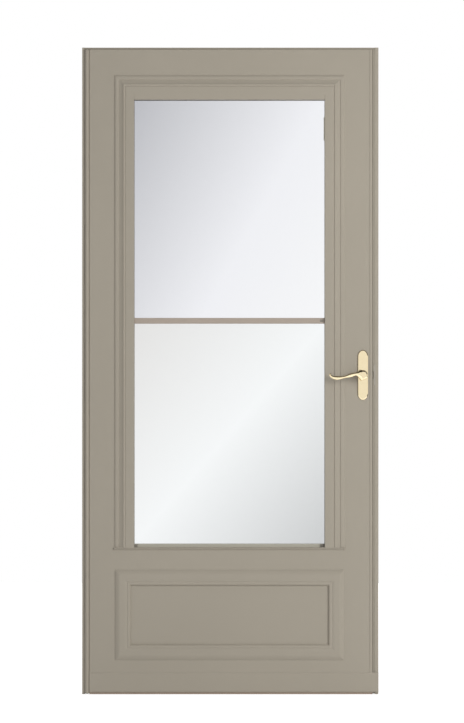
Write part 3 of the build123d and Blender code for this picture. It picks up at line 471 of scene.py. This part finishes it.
# Screws that hold the expander at its set height, on the inside
EXPANDER_SCREWS = 4
EXPANDER_SCREW_Z = 30 * MM
FROM_HINGE_END = 70 * MM
FROM_LATCH_END = 90 * MM
expander_low, expander_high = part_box("bottom_expander")
expander_xs = spaced(expander_low.x + FROM_HINGE_END, expander_high.x - FROM_LATCH_END, EXPANDER_SCREWS)
expander_places = [(x, expander_high.y - SEAT, EXPANDER_SCREW_Z) for x in expander_xs]
screws("expander_screws", EXPANDER_HEAD, "inside", expander_places, enamel, "leaf")


# Foam seals that close the gaps beside and over the leaf's edges


def edge_seal(name, runs):
    """A strip of foam with rounded edges, made of straight runs, each between two corners."""
    boxes = []
    for low, high in runs:
        deselect()
        middle = [(a + b) / 2 for a, b in zip(low, high)]
        bpy.ops.mesh.primitive_cube_add(size=1.0, location=middle)
        run = bpy.context.object
        run.scale = [b - a for a, b in zip(low, high)]
        bpy.ops.object.transform_apply(location=True, rotation=True, scale=True)
        soft = run.modifiers.new("soft", "BEVEL")
        soft.width = SEAL_ROUND
        soft.segments = 4
        bpy.ops.object.modifier_apply(modifier="soft")
        boxes.append(run)
    strip = finished(name, boxes, 50, foam)
    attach(strip, "frame")


SEAL_ROUND = 0.9 * MM
SEAL_SET_BACK = 0.6 * MM
SEAL_DEPTH = 3.4 * MM
HEAD_SEAL_DEPTH = 6.0 * MM
HEAD_SEAL_LAP = 2.0 * MM
LEAF_GAP = 0.8 * MM
BOLT_GAP = 1.0 * MM
BOLT_HOLE_GAP = 0.7 * MM
BOLT_END_GAP = 2.0 * MM
STRIKE_END_GAP = 1.0 * MM
SILL_GAP = 2.0 * MM

rail_low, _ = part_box("latch_rail")
head_rail_low, head_rail_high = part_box("head_rail")
_, leaf_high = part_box("latch_stile")
bolt_low, bolt_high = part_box("latch_bolt")
front_y = rail_low.y + SEAL_SET_BACK
back_y = front_y + SEAL_DEPTH
before_hole_y = bolt_low.y - BOLT_HOLE_GAP
by_leaf = leaf_high.x + LEAF_GAP
by_bolt = bolt_high.x + BOLT_GAP
web_x = head_rail_high.x
bolt_foot = bolt_low.z - BOLT_END_GAP
bolt_head = bolt_high.z + BOLT_END_GAP
strike_foot = strike_low.z - STRIKE_END_GAP
strike_head = strike_high.z + STRIKE_END_GAP
under_head = leaf_high.z + LEAF_GAP
under_rail = head_rail_high.z - HEAD_SEAL_LAP

# The latch side's runs from the sill up: they thin in front of the strike, and more before the bolt
latch_runs = (
    ((by_leaf, front_y, SILL_GAP), (web_x, back_y, strike_foot)),
    ((by_leaf, front_y, strike_foot), (strike_low.x, back_y, bolt_foot)),
    ((by_bolt, front_y, bolt_foot), (strike_low.x, before_hole_y, bolt_head)),
    ((by_leaf, front_y, bolt_head), (strike_low.x, back_y, strike_head)),
    ((by_leaf, front_y, strike_head), (web_x, back_y, under_head)),
)
edge_seal("latch_edge_seal", latch_runs)
head_corners = (
    (head_rail_low.x, head_rail_low.y, under_head),
    (web_x, head_rail_low.y + HEAD_SEAL_DEPTH, under_rail),
)
edge_seal("head_edge_seal", [head_corners])


# The studio: a white floor and surrounding, three soft boxes, and dark cards for the polished pieces

DOOR_MIDDLE = (0.46, 0.0, 1.05)
FLAT = (0, 0, 0)
UPRIGHT = (0, QUARTER, 0)


def studio_sheet(name, place, size, turn, finish):
    """A flat sheet by its middle, its two sides and its turn."""
    deselect()
    bpy.ops.mesh.primitive_plane_add(size=1.0, location=place, rotation=turn)
    sheet = bpy.context.object
    sheet.name = name
    sheet.scale = (*size, 1.0)
    bpy.ops.object.transform_apply(location=True, rotation=True, scale=True)
    sheet.data.materials.append(finish.data)
    return sheet


def lamp(name, place, size, power):
    """A square soft box at a place, turned towards the door, that no camera, mirror or glass shows."""
    data = bpy.data.lights.new(name, "AREA")
    data.shape = "SQUARE"
    data.size = size
    data.energy = power
    box = bpy.data.objects.new(name, data)
    bpy.context.collection.objects.link(box)
    box.location = place
    aim = [t - p for t, p in zip(DOOR_MIDDLE, place)]
    flat = math.hypot(aim[0], aim[1])
    box.rotation_euler = (math.atan2(flat, -aim[2]), 0.0, math.atan2(aim[1], aim[0]) - QUARTER)
    box.visible_camera = False
    box.visible_transmission = False
    box.visible_glossy = False


def dark_flag(name, place, size, turn):
    """A dark card that only polished metal and glass see, as round any polished thing in a studio."""
    card = studio_sheet(name, place, size, turn, flag_black)
    card.visible_camera = False
    card.visible_diffuse = False
    card.visible_shadow = False
    card.visible_transmission = False


floor_white = Finish("floor_white")
floor_white.set(
    Base_Color=(0.8, 0.8, 0.8, 1.0),
    Roughness=0.9,
    Specular_IOR_Level=0.0,
    Emission_Color=floor_white.shown(),
    Emission_Strength=0.70,
)
floor = studio_sheet("floor", (0.46, -1.0, 0.0), (16.0, 10.0), FLAT, floor_white)

world = bpy.data.worlds.new("studio")
bpy.context.scene.world = world
surrounding = Finish("studio", world)
surrounding.set(Color=surrounding.mix(surrounding.shown(), (0.36, 0.36, 0.37), (1.0, 1.0, 1.0)), Strength=1.0)

lamp("key", (3.05, -3.7, 1.9), 2.4, 124.0)
lamp("fill", (-3.2, -4.6, 1.2), 2.6, 18.0)
lamp("back_fill", (0.4, 5.0, 3.0), 3.0, 90.0)

flag_black = Finish("flag_black")
flag_black.set(Base_Color=(0.03, 0.028, 0.02, 1.0), Roughness=1.0, Specular_IOR_Level=0.0)
dark_flag("flag_above", (0.46, -1.4, 3.0), (8.0, 3.8), FLAT)
dark_flag("flag_left", (-2.2, -1.3, 1.0), (3.0, 3.6), UPRIGHT)
dark_flag("flag_right_high", (3.0, -1.8, 2.65), (2.6, 4.6), UPRIGHT)
dark_flag("flag_right_low", (3.0, -1.8, -0.45), (2.2, 4.6), UPRIGHT)


# Camera: level and square on to the door, as in the photograph

PHOTO_WIDTH = 464
PHOTO_HEIGHT = 723
METRES_A_PIXEL = 3.15 * MM
CAMERA_X = 0.4659
CAMERA_Z = 1.0471
CAMERA_DISTANCE = 8.0
SENSOR = 36.0

camera_data = bpy.data.cameras.new("camera")
camera_data.sensor_fit = "VERTICAL"
camera_data.sensor_height = SENSOR
camera_data.sensor_width = SENSOR * PHOTO_WIDTH / PHOTO_HEIGHT
camera_data.lens = SENSOR * CAMERA_DISTANCE / (PHOTO_HEIGHT * METRES_A_PIXEL)
camera = bpy.data.objects.new("camera", camera_data)
bpy.context.collection.objects.link(camera)
camera.location = (CAMERA_X, -CAMERA_DISTANCE, CAMERA_Z)
camera.rotation_euler = (QUARTER, 0, 0)
bpy.context.scene.camera = camera
bpy.context.scene.view_settings.view_transform = "Standard"
